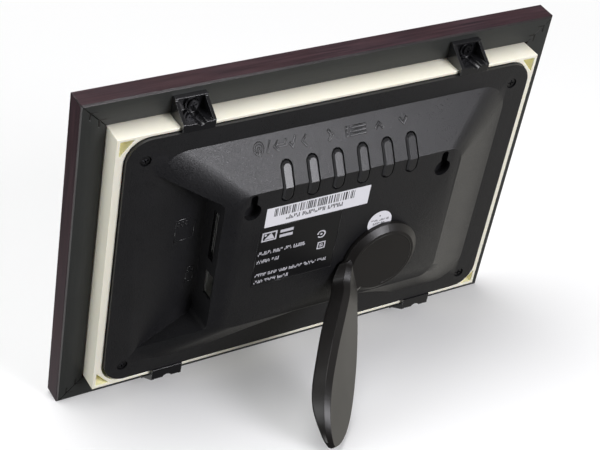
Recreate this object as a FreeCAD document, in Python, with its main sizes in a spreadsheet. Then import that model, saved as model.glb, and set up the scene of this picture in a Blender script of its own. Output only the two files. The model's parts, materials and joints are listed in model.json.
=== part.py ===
import FreeCAD
import Part
import Sketcher
import math
import os

# Seven inch digital photo frame on a swivelling stand.
#
# Every piece is drawn in an upright frame: X to the right seen from the front, Y out of the back,
# Z up, with the zero point at the middle of the wooden frame's back face. At the end one placement
# leans the whole object back until the stand's tip and the frame's back bottom edge share a table.

Vector = FreeCAD.Vector

DIMENSIONS = {
    # wooden frame
    "frame_width": 240,
    "frame_height": 167,
    "frame_depth": 12,
    "rail_back_width": 11.85,
    "rail_face_width": 24,
    "rabbet_depth": 7.5,
    "sight_edge": 2,
    "frame_chamfer": 0.8,
    "face_slope_start": 7,
    "nail_arm": 3.6,
    "nail_thickness": 0.5,
    "nail_depth": 5,
    "nail_spacing": 4.2,
    # glass and cream tray
    "glass_thickness": 2,
    "glass_gap": 0.2,
    "tray_width": 215,
    "tray_height": 141.3,
    "tray_rim": 9.7,
    "mat_thickness": 2,
    "cavity_width": 207.4,
    "cavity_height": 138.2,
    "cavity_round": 11.5,
    "tray_wall": 1.6,
    "corner_pocket": 6.4,
    "window_width": 152.4,
    "window_height": 85.6,
    "rib_height": 4,
    "rib_thickness": 1.5,
    "boss_radius": 3.5,
    "pilot_radius": 1.1,
    # display module
    "module_width": 165,
    "module_height": 104,
    "module_depth": 5.6,
    "module_sheet": 0.45,
    "module_window_width": 156,
    "module_window_height": 88.6,
    "panel_width": 161,
    "panel_height": 98,
    "panel_thickness": 1.4,
    "module_clearance": 0.3,
    "flex_width": 40,
    "flex_thickness": 0.3,
    "sheet_thickness": 0.3,
    # back cover
    "cover_width": 206.8,
    "cover_top": 68.9,
    "cover_bottom": -66.8,
    "cover_round": 11.2,
    "cover_back": 11.5,
    "cover_wall": 2,
    "plateau_back": 24.5,
    "base_left": -92.6,
    "base_right": 88.9,
    "base_half_height": 59.4,
    "base_round": 15,
    "plateau_left": -63.5,
    "plateau_right": 54.5,
    "plateau_top": 38.4,
    "plateau_bottom": -38.8,
    "plateau_round": 8,
    "port_wall_place": 59.5,
    "port_floor": 7.5,
    "port_wall_top": 33.6,
    "port_wall_bottom": -37.8,
    "port_mouth_top": 49.8,
    "port_mouth_bottom": -49.8,
    "scoop_top": -39.4,
    "scoop_left": -32,
    "scoop_right": 24,
    "scoop_foot_left": -52,
    "scoop_foot_right": 50,
    "cover_screw_x": 94.3,
    "cover_screw_z": 58.3,
    "cover_screw_sunk": 1.5,
    "cover_screw_recess": 2.6,
    "keyhole_spacing": 100,
    "keyhole_middle": -3.5,
    "keyhole_z": 28.4,
    "keyhole_radius": 4.2,
    "keyhole_slot_radius": 1.7,
    "keyhole_slot_length": 7.6,
    # boards and sockets
    "board_back": 14.6,
    "board_thickness": 1.6,
    "card_slot_low": -0.8,
    "card_slot_high": 26.1,
    "usb_low": -21.2,
    "usb_high": -7.6,
    "power_jack_x": -4,
    "power_jack_y": 18.2,
    "power_plug_radius": 3.1,
    "power_pin_radius": 1.05,
    # buttons
    "button_count": 6,
    "button_pitch": 13,
    "button_middle": -2.6,
    "button_low": 31,
    "button_high": 48.2,
    "button_width": 5.2,
    "button_gap": 0.5,
    "button_travel": 0.6,
    "button_proud": 0.7,
    "button_bevel": 0.8,
    "switch_z": 36.5,
    "switch_height": 3.5,
    # stand
    "stand_x": -27.7,
    "stand_z": -16.2,
    "disc_radius": 19.7,
    "disc_thickness": 4,
    "disc_gap": 0.4,
    "edge_bevel_depth": 2.2,
    "edge_bevel_width": 3,
    "spindle_radius": 5,
    "spindle_clearance": 0.05,
    "leg_heading": 32.7,
    "leg_root": 16.9,
    "leg_thickness": 8,
    "leg_tip_thickness": 4.5,
    # clamps and screws
    "clamp_x": 70.3,
    "clamp_width": 15.4,
    "clamp_rim": 11.9,
    "clamp_outer_rim": 2.8,
    "clamp_end": 80.2,
    "clamp_screw_z": 75.95,
    "clamp_wall": 1.4,
    "clamp_head_radius": 2.4,
    "screw_shank_radius": 1.05,
    "label_thickness": 0.1,
}

document = FreeCAD.newDocument("photo_frame")
sheet = document.addObject("Spreadsheet::Sheet", "sizes")
for row, (alias, number) in enumerate(DIMENSIONS.items(), start=1):
    sheet.set(f"A{row}", alias)
    sheet.set(f"B{row}", str(number))
    sheet.setAlias(f"B{row}", alias)
document.recompute()

pieces = []


class Size:
    """A length that knows its number and the spreadsheet expression it comes from."""

    def __init__(self, number, text):
        self.number = number
        self.text = text

    def combine(self, other, sign, number):
        text = other.text if isinstance(other, Size) else str(other)
        return Size(number, f"({self.text} {sign} {text})")

    def __add__(self, other):
        return self.combine(other, "+", self.number + plain(other))

    def __sub__(self, other):
        return self.combine(other, "-", self.number - plain(other))

    def __mul__(self, other):
        return self.combine(other, "*", self.number * plain(other))

    def __truediv__(self, other):
        return self.combine(other, "/", self.number / plain(other))

    def __neg__(self):
        return Size(-self.number, f"(0 - {self.text})")


def plain(size):
    """The number of a Size, or the number itself."""
    return size.number if isinstance(size, Size) else size


def size(alias):
    """A driving dimension from the spreadsheet."""
    return Size(float(sheet.get(alias)), f"sizes.{alias}")


def bind(item, name, length):
    """Bind a property to the spreadsheet, or set it when it is a bare number."""
    if isinstance(length, Size):
        item.setExpression(name, length.text)
    elif name.startswith("Placement.Base."):
        place = item.Placement
        setattr(place.Base, name[-1], length)
        item.Placement = place
    else:
        setattr(item, name, length)


# ---------------------------------------------------------------- sketches and bodies

def new_body(label):
    body = document.addObject("PartDesign::Body", label)
    body.Label = label
    pieces.append(body)
    return body


def new_sketch(body, name, plane_role, offset):
    """A sketch on one of the body's own origin planes, moved along the plane's normal."""
    sketch = body.newObject("Sketcher::SketchObject", name)
    plane = [item for item in body.Origin.OriginFeatures if item.Role == plane_role][0]
    sketch.AttachmentSupport = [(plane, "")]
    sketch.MapMode = "FlatFace"
    if isinstance(offset, Size):
        sketch.setExpression("AttachmentOffset.Base.z", offset.text)
    else:
        sketch.AttachmentOffset = FreeCAD.Placement(Vector(0, 0, offset), FreeCAD.Rotation())
    return sketch


def constrain(sketch, kind, *where, length):
    """Add a dimension to the sketch, bound to the spreadsheet when the length is a Size."""
    index = sketch.addConstraint(Sketcher.Constraint(kind, *where, plain(length)))
    if isinstance(length, Size):
        name = f"size_{index}"
        sketch.renameConstraint(index, name)
        sketch.setExpression(f"Constraints.{name}", length.text)


def pin_point(sketch, geometry, point, across, along):
    constrain(sketch, "DistanceX", -1, 1, geometry, point, length=across)
    constrain(sketch, "DistanceY", -1, 1, geometry, point, length=along)


def polygon(sketch, corners):
    """A closed outline of straight lines through corners given as (across, along)."""
    first = sketch.GeometryCount
    spots = [Vector(plain(across), plain(along), 0) for across, along in corners]
    count = len(spots)
    for index in range(count):
        sketch.addGeometry(Part.LineSegment(spots[index], spots[(index + 1) % count]), False)
    for index in range(count):
        following = first + (index + 1) % count
        sketch.addConstraint(Sketcher.Constraint("Coincident", first + index, 2, following, 1))
    for index, (across, along) in enumerate(corners):
        pin_point(sketch, first + index, 1, across, along)


def rectangle(sketch, left, right, bottom, top):
    polygon(sketch, [(left, bottom), (right, bottom), (right, top), (left, top)])


def circle(sketch, across, along, radius):
    index = sketch.addGeometry(
        Part.Circle(Vector(plain(across), plain(along), 0), Vector(0, 0, 1), plain(radius)), False)
    pin_point(sketch, index, 3, across, along)
    constrain(sketch, "Radius", index, length=radius)


def rounded_rectangle(sketch, half_width, half_height, radius):
    """A rectangle about the sketch's origin with four equal tangent arcs for corners."""
    first = sketch.GeometryCount
    wide, high, bend = plain(half_width), plain(half_height), plain(radius)
    for turn, (across, along) in enumerate(((1, 1), (-1, 1), (-1, -1), (1, -1))):
        centre = Vector(across * (wide - bend), along * (high - bend), 0)
        ring = Part.Circle(centre, Vector(0, 0, 1), bend)
        start = turn * math.pi / 2
        sketch.addGeometry(Part.ArcOfCircle(ring, start, start + math.pi / 2), False)
    for turn in range(4):
        begin = sketch.Geometry[first + turn].EndPoint
        end = sketch.Geometry[first + (turn + 1) % 4].StartPoint
        sketch.addGeometry(Part.LineSegment(begin, end), False)
    for turn in range(4):
        line = first + 4 + turn
        sketch.addConstraint(Sketcher.Constraint("Tangent", first + turn, 2, line, 1))
        sketch.addConstraint(Sketcher.Constraint("Tangent", line, 2, first + (turn + 1) % 4, 1))
        constrain(sketch, "Radius", first + turn, length=radius)
    for line, kind, length in (
            (first + 4, "DistanceY", half_height), (first + 5, "DistanceX", -half_width),
            (first + 6, "DistanceY", -half_height), (first + 7, "DistanceX", half_width)):
        constrain(sketch, kind, -1, 1, line, 1, length=length)


def pad_up(body, name, low, high, draw):
    """Draw an outline at the plane Y = low and pad it out of the back to Y = high."""
    sketch = new_sketch(body, f"{name}_outline", "XZ_Plane", -low)
    draw(sketch)
    pad = body.newObject("PartDesign::Pad", name)
    pad.Profile = sketch
    pad.Reversed = True
    bind(pad, "Length", high - low)
    return pad


def pocket_down(body, name, high, depth, draw):
    """Cut an outline from the plane Y = high towards the front, to the given depth."""
    document.recompute()
    before = body.Shape.Volume
    sketch = new_sketch(body, f"{name}_outline", "XZ_Plane", -high)
    draw(sketch)
    pocket = body.newObject("PartDesign::Pocket", name)
    pocket.Profile = sketch
    pocket.Reversed = True
    bind(pocket, "Length", depth)
    document.recompute()
    if body.Shape.Volume >= before:
        raise RuntimeError(f"{name} cuts nothing")
    return pocket


def plate(label, low, high, draw):
    """A piece that is one flat outline with a thickness."""
    body = new_body(label)
    pad_up(body, f"{label}_plate", low, high, draw)
    return body


# ---------------------------------------------------------------- primitives and booleans

ALONG_Y = FreeCAD.Rotation(Vector(1, 0, 0), -90)
ALONG_MINUS_Z = FreeCAD.Rotation(Vector(1, 0, 0), 180)


def rod(name, across, low, up, length, radius, turn=ALONG_Y):
    """A cylinder that starts at (across, low, up) and runs out of the back unless turned."""
    item = document.addObject("Part::Cylinder", name)
    item.Placement = FreeCAD.Placement(Vector(), turn)
    bind(item, "Radius", radius)
    bind(item, "Height", length)
    for axis, place in zip("xyz", (across, low, up)):
        bind(item, f"Placement.Base.{axis}", place)
    return item


def block(name, left, right, low, high, bottom, top):
    """A box between two places on each axis."""
    item = document.addObject("Part::Box", name)
    bind(item, "Length", right - left)
    bind(item, "Width", high - low)
    bind(item, "Height", top - bottom)
    for axis, place in zip("xyz", (left, low, bottom)):
        bind(item, f"Placement.Base.{axis}", place)
    return item


def fused(name, items):
    item = document.addObject("Part::MultiFuse", name)
    item.Shapes = items
    return item


def cut(name, base, tool):
    item = document.addObject("Part::Cut", name)
    item.Base = base
    item.Tool = tool
    return item


def keep(label, item):
    """Give a finished object its node name and put it on the list of pieces."""
    item.Label = label
    pieces.append(item)
    return item


def group(label, items):
    item = document.addObject("Part::Compound", label)
    item.Links = items
    return keep(label, item)


def formed(label, shape):
    """A piece whose form only Part's own functions can make."""
    item = document.addObject("Part::Feature", label)
    item.Shape = shape
    return item


def prism(corners, low, high):
    """A solid outline in X and Z, from Y = low to Y = high."""
    spots = [Vector(across, low, up) for across, up in corners]
    wire = Part.makePolygon(spots + spots[:1])
    return Part.Face(wire).extrude(Vector(0, high - low, 0))


def side_prism(corners, left, right):
    """A solid outline in Y and Z, from X = left to X = right."""
    spots = [Vector(left, out, up) for out, up in corners]
    wire = Part.makePolygon(spots + spots[:1])
    return Part.Face(wire).extrude(Vector(right - left, 0, 0))


# ---------------------------------------------------------------- wooden frame

HALF_WIDTH = size("frame_width") / 2
HALF_HEIGHT = size("frame_height") / 2
NAIL_STARTS = [size("nail_spacing"), size("nail_spacing") * 2]


def rail_profile(half_span):
    """The moulding's section as (Y, distance from the middle), for a rail half_span out."""
    rabbet = half_span - size("rail_back_width")
    sight = half_span - size("rail_face_width")
    front = -size("frame_depth")
    step = -size("rabbet_depth")
    bevel = size("frame_chamfer")
    return [(0, half_span - bevel), (0, rabbet), (step, rabbet), (step, sight),
            (step - size("sight_edge"), sight), (front, half_span - size("face_slope_start")),
            (front, half_span - bevel * 2), (front + bevel * 2, half_span), (-bevel, half_span)]


def nail_outline(start, right, up):
    """One angled steel nail across a mitre; right and up are +1 or -1."""
    arm = size("nail_arm")
    thin = size("nail_thickness")

    def spot(inward, downward):
        return ((HALF_WIDTH - start - inward) * right, (HALF_HEIGHT - start - downward) * up)

    return [spot(0, 0), spot(arm, 0), spot(arm, thin), spot(thin, thin), spot(thin, arm), spot(0, arm)]


def make_rail(label, sideways, sign):
    """A mitred rail: sideways is True for the left and right rails, sign picks the end."""
    body = new_body(label)
    span = HALF_WIDTH if sideways else HALF_HEIGHT
    sketch = new_sketch(body, f"{label}_profile", "XY_Plane" if sideways else "YZ_Plane", 0)
    corners = [(out, place * sign if isinstance(place, Size) else place)
               for out, place in rail_profile(span)]
    if sideways:
        corners = [(place, out) for out, place in corners]
    polygon(sketch, corners)
    pad = body.newObject("PartDesign::Pad", f"{label}_length")
    pad.Profile = sketch
    pad.SideType = "Symmetric"
    bind(pad, "Length", size("frame_height") if sideways else size("frame_width"))
    room = size("rail_face_width") + 1
    for end in (1, -1):
        right, up = (sign, end) if sideways else (end, sign)
        tip = (HALF_WIDTH * right, HALF_HEIGHT * up)
        inner = ((HALF_WIDTH - room) * right, (HALF_HEIGHT - room) * up)
        if sideways:
            waste = [tip, inner, ((HALF_WIDTH - room) * right, (HALF_HEIGHT + 1) * up),
                     (HALF_WIDTH * right, (HALF_HEIGHT + 1) * up)]
        else:
            waste = [tip, inner, ((HALF_WIDTH + 1) * right, (HALF_HEIGHT - room) * up),
                     ((HALF_WIDTH + 1) * right, HALF_HEIGHT * up)]
        pocket_down(body, f"{label}_mitre_{end + 1}", Size(1.0, "1"), size("frame_depth") + 2,
                    lambda drawn, outline=waste: polygon(drawn, outline))
        for place, start in enumerate(NAIL_STARTS):
            outline = nail_outline(start, right, up)
            pocket_down(body, f"{label}_nail_slot_{end + 1}_{place}", Size(0.0, "0"),
                        size("nail_depth"), lambda drawn, shape=outline: polygon(drawn, shape))
    if not sideways:
        for end in (1, -1):
            centre = size("clamp_x") * end
            pocket_down(body, f"{label}_screw_hole_{end + 1}", Size(0.0, "0"), size("rabbet_depth"),
                        lambda drawn, across=centre: circle(
                            drawn, across, size("clamp_screw_z") * sign, size("clamp_wall") + 0.1))
    return body


def make_nails():
    nails = []
    depth = plain(size("nail_depth"))
    for right in (1, -1):
        for up in (1, -1):
            for start in NAIL_STARTS:
                outline = [(plain(across), plain(along))
                           for across, along in nail_outline(start, right, up)]
                nails.append(prism(outline, -depth, 0))
    keep("corner_v_nails", formed("corner_v_nails", Part.makeCompound(nails)))


for rail_label, is_side, direction in (
        ("frame_rail_top", False, 1), ("frame_rail_bottom", False, -1),
        ("frame_rail_right", True, 1), ("frame_rail_left", True, -1)):
    make_rail(rail_label, is_side, direction)
make_nails()

# ---------------------------------------------------------------- glass and cream tray

GLASS_BACK = -size("rabbet_depth") + size("glass_gap") + size("glass_thickness")
MAT_FRONT = GLASS_BACK + size("glass_gap")
MAT_BACK = MAT_FRONT + size("mat_thickness")
RIB_INNER_X = size("module_width") / 2 + size("module_clearance")
RIB_INNER_Z = size("module_height") / 2 + size("module_clearance")
RIB_OUTER_X = RIB_INNER_X + size("rib_thickness")
RIB_OUTER_Z = RIB_INNER_Z + size("rib_thickness")
RIB_BACK = MAT_BACK + size("rib_height")

plate("front_glass", GLASS_BACK - size("glass_thickness"), GLASS_BACK,
      lambda drawn: rectangle(drawn, -size("tray_width") / 2, size("tray_width") / 2,
                              -size("tray_height") / 2, size("tray_height") / 2))


def corner_pocket(right, up):
    """Triangular pocket between a corner of the tray and its curved inner wall."""
    outer_x = size("tray_width") / 2 - size("tray_wall")
    outer_z = size("tray_height") / 2 - size("tray_wall")
    leg = size("corner_pocket")
    return [(outer_x * right, outer_z * up), ((outer_x - leg) * right, outer_z * up),
            (outer_x * right, (outer_z - leg - 1) * up)]


def make_tray():
    body = new_body("mat_tray")
    wide, high = size("tray_width") / 2, size("tray_height") / 2
    rim = size("tray_rim")
    pad_up(body, "tray_block", MAT_FRONT, rim, lambda drawn: rectangle(drawn, -wide, wide, -high, high))
    pocket_down(body, "tray_cavity", rim, rim - MAT_BACK, lambda drawn: rounded_rectangle(
        drawn, size("cavity_width") / 2, size("cavity_height") / 2, size("cavity_round")))
    for right in (1, -1):
        for up in (1, -1):
            pocket_down(body, f"tray_corner_{right + 1}_{up + 1}", rim, size("corner_pocket"),
                        lambda drawn, outline=corner_pocket(right, up): polygon(drawn, outline))
    window_x, window_z = size("window_width") / 2, size("window_height") / 2
    pocket_down(body, "tray_window", MAT_BACK, size("mat_thickness") + 1,
                lambda drawn: rectangle(drawn, -window_x, window_x, -window_z, window_z))

    def draw_ribs(drawn):
        rectangle(drawn, -RIB_OUTER_X, RIB_OUTER_X, -RIB_OUTER_Z, RIB_OUTER_Z)
        rectangle(drawn, -RIB_INNER_X, RIB_INNER_X, -RIB_INNER_Z, RIB_INNER_Z)

    pad_up(body, "tray_ribs", MAT_BACK, RIB_BACK, draw_ribs)
    gap = size("flex_width") / 2 + 2
    pocket_down(body, "tray_flex_gap", RIB_BACK, size("rib_height"),
                lambda drawn: rectangle(drawn, -gap, gap, -RIB_OUTER_Z - 1, -RIB_INNER_Z + 0.1))
    boss_back = size("cover_back") - size("cover_wall")
    for right in (1, -1):
        for up in (1, -1):
            across, along = size("cover_screw_x") * right, size("cover_screw_z") * up
            pad_up(body, f"tray_boss_{right + 1}_{up + 1}", MAT_BACK, boss_back,
                   lambda drawn, x=across, z=along: circle(drawn, x, z, size("boss_radius")))
            pocket_down(body, f"tray_pilot_{right + 1}_{up + 1}", boss_back, boss_back - MAT_BACK,
                        lambda drawn, x=across, z=along: circle(drawn, x, z, size("pilot_radius")))


make_tray()

# ---------------------------------------------------------------- display module

MODULE_FRONT = MAT_BACK
MODULE_BACK = MODULE_FRONT + size("module_depth")
PANEL_FRONT = MODULE_FRONT + size("module_sheet")
PANEL_BACK = PANEL_FRONT + size("panel_thickness")


def centred(half_width, half_height):
    return lambda drawn: rectangle(drawn, -half_width, half_width, -half_height, half_height)


def make_bezel():
    body = new_body("lcd_metal_bezel")
    half_x, half_z = size("module_width") / 2, size("module_height") / 2
    sheet_metal = size("module_sheet")
    pad_up(body, "bezel_block", MODULE_FRONT, MODULE_BACK, centred(half_x, half_z))
    pocket_down(body, "bezel_inside", MODULE_BACK, size("module_depth") - sheet_metal,
                centred(half_x - sheet_metal, half_z - sheet_metal))
    pocket_down(body, "bezel_window", MODULE_BACK, size("module_depth") + 1,
                centred(size("module_window_width") / 2, size("module_window_height") / 2))
    gap = size("flex_width") / 2 + 1
    pocket_down(body, "bezel_flex_gap", MODULE_BACK, size("module_depth") - sheet_metal,
                lambda drawn: rectangle(drawn, -gap, gap, -half_z - 1, -half_z + sheet_metal))


make_bezel()
plate("lcd_glass_panel", PANEL_FRONT, PANEL_BACK,
      centred(size("panel_width") / 2, size("panel_height") / 2))
plate("lcd_backlight", PANEL_BACK + 0.8, MODULE_BACK - size("sheet_thickness"),
      centred(size("module_width") / 2 - 0.6, size("module_height") / 2 - 0.6))
plate("lcd_rear_sheet", MODULE_BACK - size("sheet_thickness"), MODULE_BACK,
      centred(size("module_width") / 2 - 0.5, size("module_height") / 2 - 0.5))
plate("insulating_sheet", MODULE_BACK + 0.05, MODULE_BACK + size("sheet_thickness"),
      centred(size("module_width") / 2 - 15, size("module_height") / 2 - 8))


def make_flex():
    """The ribbon leaves the panel's bottom edge, turns round the module and plugs into the board."""
    half = plain(size("flex_width")) / 2
    thin = plain(size("flex_thickness"))
    start = plain(PANEL_BACK) + thin
    shelf = plain(size("tray_rim")) - 0.8
    connector = plain(size("board_back") - size("board_thickness")) - 1.6
    bottom = -plain(size("panel_height")) / 2
    turn = -plain(RIB_INNER_Z) - 1.2
    outline = [(start, bottom), (start, turn), (shelf, turn), (shelf, -36.6), (connector, -34), (connector, -28),
               (connector - thin, -28), (connector - thin, -34 + thin), (shelf - thin, -36.6 + thin),
               (shelf - thin, turn + thin), (start + thin, turn + thin), (start + thin, bottom)]
    keep("lcd_flex_cable", formed("lcd_flex_cable", side_prism(outline, -half, half)))


make_flex()


def make_clips():
    """Four clips outside the ribs with a lip over the back of the display module."""
    clips = []
    for right in (1, -1):
        for up in (1, -1):
            name = f"clip_{right + 1}_{up + 1}"
            post_near, post_far = RIB_OUTER_X + 0.2, RIB_OUTER_X + 4
            lip_near = size("module_width") / 2 - 3
            bottom, top = size("module_height") / 4 - 4, size("module_height") / 4 + 4
            lip_front = MODULE_BACK + size("sheet_thickness") + 0.1
            sides = [(post_near, post_far), (lip_near, post_far)]
            depths = [(MAT_BACK, lip_front + 1.3), (lip_front, lip_front + 1.3)]
            halves = []
            for index, ((near, far), (front, back)) in enumerate(zip(sides, depths)):
                left, right_end = (near, far) if right > 0 else (-far, -near)
                low, high = (bottom, top) if up > 0 else (-top, -bottom)
                halves.append(block(f"{name}_{index}", left, right_end, front, back, low, high))
            clips.append(fused(name, halves))
    group("lcd_clips", clips)


make_clips()

# ---------------------------------------------------------------- back cover

WALL = plain(size("cover_wall"))
COVER_BACK = plain(size("cover_back"))
PLATEAU = plain(size("plateau_back"))
RISE = PLATEAU - COVER_BACK
BASE = [plain(size("base_left")), plain(size("base_right")),
        -plain(size("base_half_height")), plain(size("base_half_height"))]
TOP = [plain(size("plateau_left")), plain(size("plateau_right")),
       plain(size("plateau_bottom")), plain(size("plateau_top"))]


def rounded_wire(left, right, bottom, top, radius, out):
    """A rounded rectangle in the plane Y = out, always started at the same corner."""
    edges = []
    corners = [(right, top, 0), (left, top, 1), (left, bottom, 2), (right, bottom, 3)]
    arcs = []
    for across, up, turn in corners:
        middle = Vector(across - radius if turn in (0, 3) else across + radius, out,
                        up - radius if turn in (0, 1) else up + radius)
        spots = []
        for part in (0, 0.5, 1):
            angle = (turn + part) * math.pi / 2
            spots.append(middle + Vector(radius * math.cos(angle), 0, radius * math.sin(angle)))
        arcs.append(spots)
    for index, spots in enumerate(arcs):
        edges.append(Part.Arc(*spots).toShape())
        edges.append(Part.LineSegment(spots[2], arcs[(index + 1) % 4][0]).toShape())
    return Part.Wire(edges)


def housing(inset):
    """The raised housing; inset 0 is the outside, inset 1 the space inside its wall."""
    base, top = list(BASE), list(TOP)
    for side, outward in enumerate((-1, 1, -1, 1)):
        run = abs(BASE[side] - TOP[side])
        shift = WALL * math.hypot(run, RISE) / RISE
        base[side] -= outward * shift * inset
        top[side] -= outward * (shift - WALL * run / RISE) * inset
    low_round = plain(size("base_round")) - 3 * inset
    top_round = plain(size("plateau_round")) - inset
    wires = [rounded_wire(*base, low_round, COVER_BACK), rounded_wire(*top, top_round, PLATEAU - WALL * inset)]
    solid = Part.makeLoft(wires, True, True)
    depth = 6.5
    foot = Part.Face(rounded_wire(*base, low_round, COVER_BACK - depth))
    return solid.fuse(foot.extrude(Vector(0, depth, 0)))


def port_recess(grow):
    """Hand space for the cards and plugs, grown by the wall thickness for its lining."""
    wall_x = plain(size("port_wall_place")) - grow
    mouth_x = plain(size("base_right"))
    floor = plain(size("port_floor")) - grow
    plan = [(wall_x, plain(size("port_wall_bottom")) - grow),
            (mouth_x, plain(size("port_mouth_bottom")) - grow),
            (mouth_x + 8, plain(size("port_mouth_bottom")) - grow),
            (mouth_x + 8, plain(size("port_mouth_top")) + grow),
            (mouth_x, plain(size("port_mouth_top")) + grow),
            (wall_x, plain(size("port_wall_top")) + grow)]
    space = prism(plan, 0, PLATEAU + 5)
    ramp = [(wall_x, floor), (mouth_x, COVER_BACK - grow), (mouth_x + 10, COVER_BACK - grow),
            (mouth_x + 10, PLATEAU + 6), (wall_x, PLATEAU + 6)]
    spots = [Vector(across, out, -70) for across, out in ramp]
    wedge = Part.Face(Part.makePolygon(spots + spots[:1])).extrude(Vector(0, 0, 140))
    space = space.common(wedge)
    upright = [edge for edge in space.Edges if is_upright(edge, wall_x)]
    return space.makeFillet(3.5 + grow, upright)


def is_upright(edge, across):
    """True for a straight edge along Y at the given X."""
    ends = [vertex.Point for vertex in edge.Vertexes]
    return (len(ends) == 2 and all(abs(spot.x - across) < 1e-3 for spot in ends)
            and abs(ends[0].z - ends[1].z) < 1e-3 and abs(ends[0].y - ends[1].y) > 1)


def plug_scoop(grow):
    """Arched space below the housing that lets a power plug come in from underneath."""
    top = plain(size("scoop_top")) + grow
    foot = BASE[2] - 1.5
    left_foot, right_foot = plain(size("scoop_foot_left")) - grow, plain(size("scoop_foot_right")) + grow
    left, right = plain(size("scoop_left")) - grow, plain(size("scoop_right")) + grow
    bend = 9.0
    edges = []
    left_mid = Vector((left_foot + left) / 2, 0, (foot + top) / 2)
    right_mid = Vector((right_foot + right) / 2, 0, (foot + top) / 2)
    edges.append(Part.LineSegment(Vector(right_foot + 4, 0, foot), Vector(left_foot - 4, 0, foot)).toShape())
    left_curve = Part.BSplineCurve()
    left_curve.interpolate([Vector(left_foot - 4, 0, foot), left_mid, Vector(left + bend, 0, top)])
    edges.append(left_curve.toShape())
    edges.append(Part.LineSegment(Vector(left + bend, 0, top), Vector(right - bend, 0, top)).toShape())
    right_curve = Part.BSplineCurve()
    right_curve.interpolate([Vector(right - bend, 0, top), right_mid, Vector(right_foot + 4, 0, foot)])
    edges.append(right_curve.toShape())
    face = Part.Face(Part.Wire(edges))
    face.translate(Vector(0, COVER_BACK - grow, 0))
    return face.extrude(Vector(0, RISE + 5, 0))


def keyhole_form(across, radius, slot_radius, low, high):
    """A keyhole: the round entry with a narrow slot upwards, from Y = low to Y = high."""
    up = plain(size("keyhole_z"))
    reach = plain(size("keyhole_slot_length"))
    out = Vector(0, 1, 0)
    entry = Part.makeCylinder(radius, high - low, Vector(across, low, up), out)
    slot = Part.makeBox(2 * slot_radius, high - low, reach, Vector(across - slot_radius, low, up))
    end = Part.makeCylinder(slot_radius, high - low, Vector(across, low, up + reach), out)
    return entry.fuse([slot, end]).removeSplitter()


def pill(across, width, low, high, front, back):
    """A slot with round ends along Z, as a solid from Y = front to Y = back."""
    radius = width / 2
    out = Vector(0, 1, 0)
    middle = Part.makeBox(width, back - front, high - low - width,
                          Vector(across - radius, front, low + radius))
    ends = [Part.makeCylinder(radius, back - front, Vector(across, front, place), out)
            for place in (low + radius, high - radius)]
    return middle.fuse(ends).removeSplitter()


def button_places():
    pitch = plain(size("button_pitch"))
    count = int(plain(size("button_count")))
    middle = plain(size("button_middle"))
    return [middle + pitch * ((count - 1) / 2 - index) for index in range(count)]


KEYHOLES = [plain(size("keyhole_middle")) + side * plain(size("keyhole_spacing")) / 2 for side in (1, -1)]
BOARD_SCREWS = [(51.5, -29.5), (51.5, 41.0), (-5.5, -16.5), (-43.7, 41.0)]
BOARD_BACK = plain(size("board_back"))


def make_cover():
    outline = [-plain(size("cover_width")) / 2, plain(size("cover_width")) / 2,
               plain(size("cover_bottom")), plain(size("cover_top"))]
    flange = Part.Face(rounded_wire(*outline, plain(size("cover_round")), COVER_BACK - WALL))
    flange = flange.extrude(Vector(0, WALL, 0))
    outside = housing(0)
    shell = outside.common(Part.makeBox(300, 40, 300, Vector(-150, COVER_BACK - WALL, -150)))
    shell = shell.fuse(flange).cut(housing(1))
    additions = [port_recess(WALL).common(outside), plug_scoop(WALL).common(outside)]
    out = Vector(0, 1, 0)
    for across, up in BOARD_SCREWS:
        post = Part.makeCylinder(3, PLATEAU - BOARD_BACK, Vector(across, BOARD_BACK, up), out)
        additions.append(post.common(outside))
    hub = Vector(plain(size("stand_x")), 17.5, plain(size("stand_z")))
    additions.append(Part.makeCylinder(9, PLATEAU - WALL / 2 - hub.y, hub, out))
    for across in KEYHOLES:
        additions.append(keyhole_form(across, plain(size("keyhole_radius")) + 2, 3.7, 18.4, PLATEAU - WALL / 2)
                         .common(outside))
    shell = shell.fuse(additions)
    removals = [port_recess(0), plug_scoop(0)]
    for across, up in BOARD_SCREWS:
        removals.append(Part.makeCylinder(plain(size("pilot_radius")), 6, Vector(across, BOARD_BACK, up), out))
    bore = plain(size("spindle_radius") + size("spindle_clearance"))
    removals.append(Part.makeCylinder(bore, 20, Vector(hub.x, 10, hub.z), out))
    radius = plain(size("keyhole_radius"))
    slot = plain(size("keyhole_slot_radius"))
    for across in KEYHOLES:
        removals.append(keyhole_form(across, radius, slot, PLATEAU - WALL - 0.5, PLATEAU + 1))
        removals.append(keyhole_form(across, radius + 1, 3, 19.6, PLATEAU - WALL))
    gap = plain(size("button_gap"))
    for across in button_places():
        removals.append(pill(across, plain(size("button_width")) + 2 * gap,
                             plain(size("button_low")) - gap, plain(size("button_high")) + 1.6 * gap,
                             14, PLATEAU + 3))
    for right in (1, -1):
        for up in (1, -1):
            place = Vector(right * plain(size("cover_screw_x")), 0, up * plain(size("cover_screw_z")))
            removals.append(Part.makeCylinder(1.3, 20, place, out))
            seat = place + out * (COVER_BACK - plain(size("cover_screw_sunk")))
            removals.append(Part.makeCylinder(plain(size("cover_screw_recess")), 5, seat, out))
    wall_x = plain(size("port_wall_place"))
    slots = [(plain(size("card_slot_low")), plain(size("card_slot_high")), 14.5, 18.8),
             (plain(size("usb_low")), plain(size("usb_high")), 14.7, 21.5)]
    for low, high, front, back in slots:
        removals.append(Part.makeBox(6, back - front, high - low, Vector(wall_x - 3, front, low)))
    jack = Vector(plain(size("power_jack_x")), plain(size("power_jack_y")), plain(size("scoop_top")) - 1)
    removals.append(Part.makeCylinder(plain(size("power_plug_radius")) + 1.1, 4, jack, Vector(0, 0, 1)))
    shell = shell.cut(removals)
    keep("back_cover", formed("back_cover", shell))


make_cover()

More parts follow.
